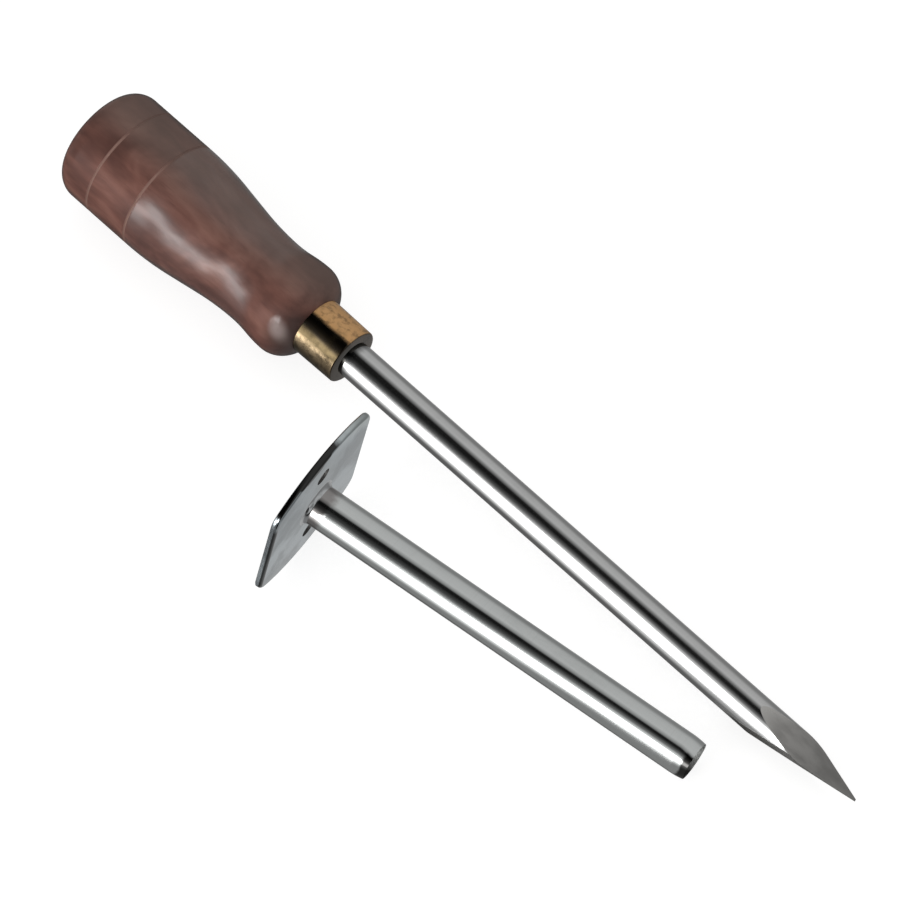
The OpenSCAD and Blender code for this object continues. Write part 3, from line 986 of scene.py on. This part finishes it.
class TROCAR_OT_stylet(bpy.types.Operator):
    """Turn the stylet and grind its three-edged point"""

    bl_idname = "trocar.stylet"
    bl_label = "Stylet"
    bl_options = {"REGISTER", "UNDO"}

    def execute(self, context):
        scene = context.scene
        stylet = scene.trocar_stylet
        place = trocar_place(stylet)
        piece = turn_on_lathe("steel_stylet", stylet_stations(scene.trocar_ferrule, stylet), 128)
        only(piece)
        apex = stylet.reach + stylet.tip_half / math.tan(stylet.facet)
        lift = Vector((math.sin(stylet.facet), 0, math.cos(stylet.facet)))
        facets = [
            Matrix.Rotation(stylet.point_turn + side * math.tau / 3, 3, "X") @ lift for side in range(3)
        ]
        for normal in facets:
            bpy.ops.object.mode_set(mode="EDIT")
            bpy.ops.mesh.select_all(action="SELECT")
            bpy.ops.mesh.bisect(
                plane_co=(apex, 0, 0),
                plane_no=normal,
                use_fill=True,
                clear_outer=True,
                threshold=1e-7,
            )
            bpy.ops.object.mode_set(mode="OBJECT")
        painted_shade_from = stylet.reach - stylet.nose_reach + 3 * MM
        # The facet that lies low and the turned nose behind the facets take the painted shade
        for face in piece.data.polygons:
            on = [face.normal.dot(normal) > 1 - FLAT for normal in facets]
            if on[1] or not any(on) and face.center.x > painted_shade_from:
                face.material_index = 2
            elif any(on):
                face.material_index = 1
        looks = [make(stylet, place) for make in (polished_rod, ground_steel, painted_shade_facet)]
        finish_piece(piece, place, "trocar", "stylet", "stylet_steel", *looks, crease=5, mirrored=False)
        return {"FINISHED"}


class TROCAR_OT_tube(bpy.types.Operator):
    """Draw the cannula's tube, narrowed in a curve at its far end"""

    bl_idname = "trocar.tube"
    bl_label = "Cannula tube"
    bl_options = {"REGISTER", "UNDO"}

    def execute(self, context):
        cannula = context.scene.trocar_cannula
        place = cannula_place(cannula)
        piece = turn_on_lathe("chromed_tube", tube_stations(cannula), 144, closed=True)
        for face in piece.data.polygons:
            middle = math.hypot(face.center.y, face.center.z)
            face.material_index = 1 if middle < cannula.bore / 2 + cannula.edge else 0
        looks = [make(cannula, place) for make in (soldered_tube, bore_painted_shade)]
        finish_piece(
            piece, place, "cannula", "cannula_tube", "tube_chrome", *looks, crease=20, mirrored=False
        )
        return {"FINISHED"}


class TROCAR_OT_flange(bpy.types.Operator):
    """Cut the cannula's flange and drill its holes"""

    bl_idname = "trocar.flange"
    bl_label = "Cannula flange"
    bl_options = {"REGISTER", "UNDO"}

    def execute(self, context):
        cannula = context.scene.trocar_cannula
        place = cannula_place(cannula)
        outline = flange_outline(cannula)
        clear_selection()
        bpy.ops.mesh.primitive_circle_add(vertices=len(outline), radius=cannula.width / 2)
        piece = bpy.context.object
        piece.name = "flange_plate"
        piece.data.name = "flange_plate"
        for point, (across, up) in zip(piece.data.vertices, outline):
            point.co = (-cannula.thick / 2, across, up)
        bpy.ops.object.mode_set(mode="EDIT")
        bpy.ops.mesh.select_all(action="SELECT")
        bpy.ops.mesh.edge_face_add()
        bpy.ops.mesh.extrude_region_move(TRANSFORM_OT_translate={"value": (cannula.thick, 0, 0)})
        bpy.ops.mesh.select_all(action="SELECT")
        bpy.ops.mesh.normals_make_consistent(inside=False)
        pick_points(piece, lambda p: p.x < 0)
        bpy.ops.mesh.bevel(offset=cannula.back_round, segments=1, affect="EDGES")
        pick_points(piece, lambda p: p.x > cannula.thick / 2 - EPS)
        bpy.ops.mesh.bevel(offset=cannula.front_round, segments=8, affect="EDGES")
        bpy.ops.object.mode_set(mode="OBJECT")
        soften_edges(piece, width=0.08 * MM, segments=2)
        eye = cannula.eye / 2
        half_span = cannula.eye_span / 2
        holes = [(0, 0, cannula.outside / 2), (0, half_span, eye), (0, -half_span, eye)]
        cut_holes(piece, holes, 4 * cannula.thick)
        for face in piece.data.polygons:
            beside = math.hypot(face.center.y, abs(face.center.z) - half_span)
            inside = abs(face.center.x) < 0.45 * cannula.thick
            face.material_index = 1 if inside and beside < eye else 0
        piece.rotation_euler = (-cannula.lean, 0, 0)
        only(piece)
        bpy.ops.object.transform_apply(location=True, rotation=True, scale=True)
        looks = [make(cannula, place) for make in (chromed_plate, hole_painted_shade)]
        finish_piece(
            piece, place, "cannula", "cannula_flange", "flange_chrome", *looks, crease=35, mirrored=False
        )
        return {"FINISHED"}


class TROCAR_OT_solder(bpy.types.Operator):
    """Run the solder fillet in between tube and flange"""

    bl_idname = "trocar.solder"
    bl_label = "Solder"
    bl_options = {"REGISTER", "UNDO"}

    def execute(self, context):
        cannula = context.scene.trocar_cannula
        place = cannula_place(cannula)
        face = cannula.thick / 2
        root = cannula.outside / 2
        size = cannula.solder
        path = bend((root + size, face + size), size, -math.pi / 2, -math.pi, 9)
        piece = turn_on_lathe("run_solder", path + [(face, root)], 120, closed=True)
        # Lumps of three sizes swell the free surface, and fade out where it meets tube and flange
        for point in piece.data.vertices:
            x, y, z = point.co
            radius = math.hypot(y, z)
            angle = math.atan2(z, y)
            free = min(max((radius - root) * (x - face) / (0.1 * size**2), 0.0), 1.0)
            lump = math.sin(3 * angle + 0.6) + 0.8 * math.sin(5 * angle + 2.1) + 0.3 * math.sin(9 * angle)
            swell = free * size * (0.08 + 0.09 * lump)
            point.co = (x + swell, y * (radius + swell) / radius, z * (radius + swell) / radius)
        tin = run_tin(cannula, place)
        finish_piece(piece, place, "cannula", "cannula_solder", "solder", tin, crease=50, mirrored=False)
        return {"FINISHED"}


def studio_sky(stage):
    """Even light for the surfaces, and for mirrors a bright side, a grey side and a dark gap overhead."""
    world = bpy.data.worlds.new("studio")
    bpy.context.scene.world = world
    world.use_nodes = True
    world.node_tree.nodes.clear()
    sky = Pattern(world.node_tree)

    def background(tone, strength):
        node = sky.nodes.new("ShaderNodeBackground")
        sky.feed(node.inputs["Color"], tone)
        sky.feed(node.inputs["Strength"], strength)
        return node.outputs[0]

    def turns(source, low, high, out_low=0.0, out_high=1.0):
        """A step between two angles, in degrees."""
        return sky.between(source, math.radians(low), math.radians(high), out_low, out_high)

    # Angle of a direction from straight up, positive towards the bright side
    bright_turn = math.radians(20.6)
    height = sky.across((0, 0, 1))
    sideways = sky.across((-math.sin(bright_turn), -math.cos(bright_turn), 0))
    angle = sky.combine("ARCTAN2", sideways, height)

    # The edges of the bright side and of the dark gap run aslant, so they shift along the shafts
    degree = math.radians(1)
    by_rod = sky.across((0.9987, 0, -0.0512))
    by_tube = sky.across((0.972, 0.178, -0.153))
    rod_only = sky.between(by_rod, -0.2, -0.15, 1.0, 0.0)
    upper_rod = sky.times(sky.between(by_rod, -0.338, -0.3, -7 * degree, 16 * degree), rod_only)
    upper_tube = sky.between(by_tube, -0.15, -0.122, 0.0, 16 * degree)
    upper_edge = sky.times(
        sky.add(upper_rod, upper_tube), turns(angle, 5, 25), turns(angle, 60, 80, 1.0, 0.0)
    )
    lower_rod = sky.times(sky.between(by_rod, -0.3, -0.26, 0.0, 24 * degree), rod_only)
    lower_tube = sky.between(by_tube, -0.145, -0.12, 0.0, 28 * degree)
    lower_edge = sky.times(sky.add(lower_rod, lower_tube), turns(angle, 60, 80))
    gap_shift = sky.between(by_rod, -0.25, -0.15, 4 * degree, -9 * degree)
    gap_edge = sky.times(gap_shift, turns(angle, -45, -30), turns(angle, -2, 8, 1.0, 0.0))
    angle = sky.add(angle, upper_edge, lower_edge, gap_edge)

    # Degrees from straight up, and how bright the studio looks there
    view = (
        (-180, 0.36), (-150, 0.42), (-122, 0.18), (-90, 0.21), (-65, 0.37), (-24, 0.42),
        (-6, 0.14), (4, 0.01), (16, 0.006), (34, 0.045), (46, 0.15), (58, 0.6), (70, 1.0),
        (106, 1.0), (121, 0.33), (132, 0.2), (180, 0.2),
    )
    stops = [(degrees / 360 + 0.5, grey(level)) for degrees, level in view]
    level = sky.ramp(sky.add(sky.times(angle, 1 / math.tau), 0.5), stops)

    # A soft panel brightens the bright side between its two ends; past them the studio is dark
    right = sky.across((1, 0, 0))
    panel = sky.times(
        turns(angle, 60, 76),
        turns(angle, 88, 107, 1.0, 0.0),
        sky.between(right, -0.5, -0.42, 0.0, stage.panel - 1),
        sky.between(right, 0.46, 0.62, 1.0, 0.0),
    )
    past_right = sky.times(turns(angle, 40, 56), sky.between(right, 0.46, 0.62, 0.0, 0.93))
    past_left = sky.times(
        sky.between(right, -0.62, -0.48, 0.95, 0.0), sky.between(height, -0.12, 0.05)
    )
    below = sky.times(
        sky.between(height, -0.78, -0.5, 0.45, 0.0), sky.between(right, -0.28, -0.2, 1.0, 0.0)
    )
    lit = (sky.less(1.0, dark) for dark in (past_right, past_left, below))
    mirrored = background(grey(1.0), sky.add(sky.times(level, *lit), panel))

    even = background((1.0, 0.99, 0.975), stage.daylight)
    unseen = sky.for_rays("Is Glossy Ray", mirrored, even)
    seen = sky.for_rays("Is Camera Ray", background(grey(1.0), 1.0), unseen)
    out = sky.nodes.new("ShaderNodeOutputWorld")
    sky.feed(out.inputs["Surface"], seen)


def white_floor():
    """A white floor that keeps a faint shadow and throws little light back up."""
    clear_selection()
    bpy.ops.mesh.primitive_plane_add(size=12, location=(0, 0, -0.05 * MM))
    floor = bpy.context.object
    floor.name = "floor"
    bpy.ops.object.transform_apply(location=True, rotation=True, scale=True)
    material = bpy.data.materials.new("white_floor")
    material.use_nodes = True
    material.node_tree.nodes.clear()
    web = Pattern(material.node_tree)

    def diffuse(level):
        node = web.nodes.new("ShaderNodeBsdfDiffuse")
        web.feed(node.inputs["Color"], grey(level))
        return node.outputs[0]

    glow = web.nodes.new("ShaderNodeEmission")
    web.feed(glow.inputs["Strength"], 0.83)
    paper = web.nodes.new("ShaderNodeAddShader")
    web.feed(paper.inputs[0], diffuse(0.34))
    web.feed(paper.inputs[1], glow.outputs[0])
    out = web.nodes.new("ShaderNodeOutputMaterial")
    web.feed(out.inputs["Surface"], web.for_rays("Is Camera Ray", paper.outputs[0], diffuse(0.5)))
    floor.data.materials.append(material)
    floor.visible_glossy = False


def add_looking(name, data, place, direction):
    """Adds a lamp or a camera that looks in a direction."""
    holder = bpy.data.objects.new(name, data)
    bpy.context.scene.collection.objects.link(holder)
    holder.location = place
    holder.rotation_euler = direction.to_track_quat("-Z", "Y").to_euler()
    return holder


def key_lamp(brightness):
    """A square soft lamp beside the stage, aimed at the handle, whose panel has a given brightness."""
    size = 0.6
    place = Vector((-0.1, -1.2, 0.42))
    target = Vector((-0.06, 0, 0))
    lamp = bpy.data.lights.new("key", "AREA")
    lamp.shape = "SQUARE"
    lamp.size = size
    lamp.energy = brightness * math.pi * size**2
    add_looking("key", lamp, place, target - place).visible_glossy = False


class TROCAR_OT_stage(bpy.types.Operator):
    """Set up the floor, the light and the camera"""

    bl_idname = "trocar.stage"
    bl_label = "Stage"
    bl_options = {"REGISTER", "UNDO"}

    def execute(self, context):
        scene = context.scene
        stage = scene.trocar_stage
        scene.view_settings.view_transform = "Standard"
        studio_sky(stage)
        white_floor()
        key_lamp(stage.key)
        camera = bpy.data.cameras.new("camera")
        camera.sensor_width = 36.0
        camera.lens = stage.lens
        camera.clip_end = 50.0
        level = math.cos(stage.elevation)
        across, back = math.sin(stage.azimuth) * level, -math.cos(stage.azimuth) * level
        away = Vector((across, back, math.sin(stage.elevation)))
        aim = Vector((stage.aim_x, stage.aim_y, 0))
        scene.camera = add_looking("camera", camera, aim + away * stage.distance, -away)
        return {"FINISHED"}


class TROCAR_PT_parts(bpy.types.Panel):
    """Lists the pieces and their sizes"""

    bl_idname = "TROCAR_PT_parts"
    bl_label = "Trocar"
    bl_space_type = "VIEW_3D"
    bl_region_type = "UI"
    bl_category = "Trocar"

    def draw(self, context):
        for operator in OPERATORS:
            self.layout.operator(operator.bl_idname)
        for name, group in GROUPS.items():
            box = self.layout.box()
            box.label(text=group.__doc__)
            for key in group.__annotations__:
                box.prop(getattr(context.scene, name), key)


OPERATORS = (
    TROCAR_OT_handle,
    TROCAR_OT_ferrule,
    TROCAR_OT_stylet,
    TROCAR_OT_tube,
    TROCAR_OT_flange,
    TROCAR_OT_solder,
    TROCAR_OT_stage,
)


def register():
    for cls in (*GROUPS.values(), *OPERATORS, TROCAR_PT_parts):
        bpy.utils.register_class(cls)
    for name, group in GROUPS.items():
        setattr(bpy.types.Scene, name, bpy.props.PointerProperty(type=group))


def unregister():
    for name in GROUPS:
        delattr(bpy.types.Scene, name)
    for cls in (TROCAR_PT_parts, *reversed(OPERATORS), *reversed(GROUPS.values())):
        bpy.utils.unregister_class(cls)


def main():
    """Builds every piece and the stage."""
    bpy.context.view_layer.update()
    register()
    bpy.ops.trocar.handle()
    bpy.ops.trocar.ferrule()
    bpy.ops.trocar.stylet()
    bpy.ops.trocar.tube()
    bpy.ops.trocar.flange()
    bpy.ops.trocar.solder()
    bpy.ops.trocar.stage()


if __name__ == "__main__":
    main()
